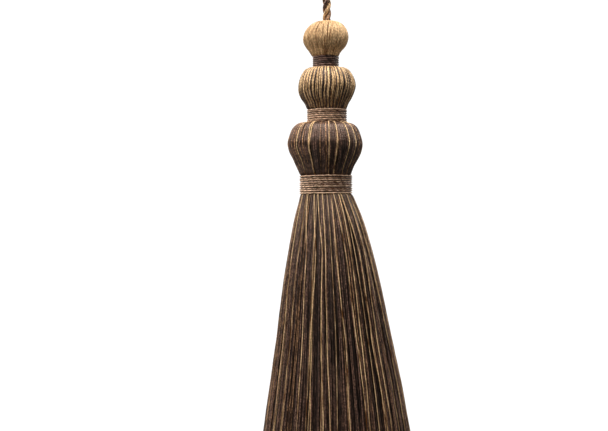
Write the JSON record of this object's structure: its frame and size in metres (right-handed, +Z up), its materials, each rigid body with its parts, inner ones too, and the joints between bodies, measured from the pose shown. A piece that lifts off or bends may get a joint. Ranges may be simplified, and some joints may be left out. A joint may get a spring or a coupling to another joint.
{
  "type": "yarn tassel on a twisted cord",
  "caption": "Hanging tie-back tassel: yarn-covered balls of growing size with twine bindings, over a long flared skirt of fine yarns, on a twisted cord loop.",
  "frame": {"origin": "inside top of the hanging loop, where a hook carries the tassel", "axes": "+Z up along the hanging tassel, +X to the viewer's right, the viewer on the -Y side"},
  "size_m": [0.094, 0.094, 0.3636],
  "materials": {
    "twisted_cord": "satin cord of three strands, dark brown, gold and taupe",
    "dark_twine": "matt dark brown waxed linen twine",
    "gold_yarn": "satin gold viscose yarn",
    "striped_yarn": "satin gold viscose yarn between dark brown yarns",
    "jute_twine": "dry light brown jute twine",
    "brown_yarn": "dark brown linen yarn with single gold and taupe yarns"
  },
  "bodies": {
    "root": {"hanging_cord": "twisted_cord", "loop_whipping": "dark_twine", "top_ball": "gold_yarn", "top_binding": "dark_twine", "middle_ball": "striped_yarn", "middle_binding": "jute_twine", "lower_ball": "brown_yarn", "lower_binding": "jute_twine", "skirt": "brown_yarn"}
  },
  "joints": []
}
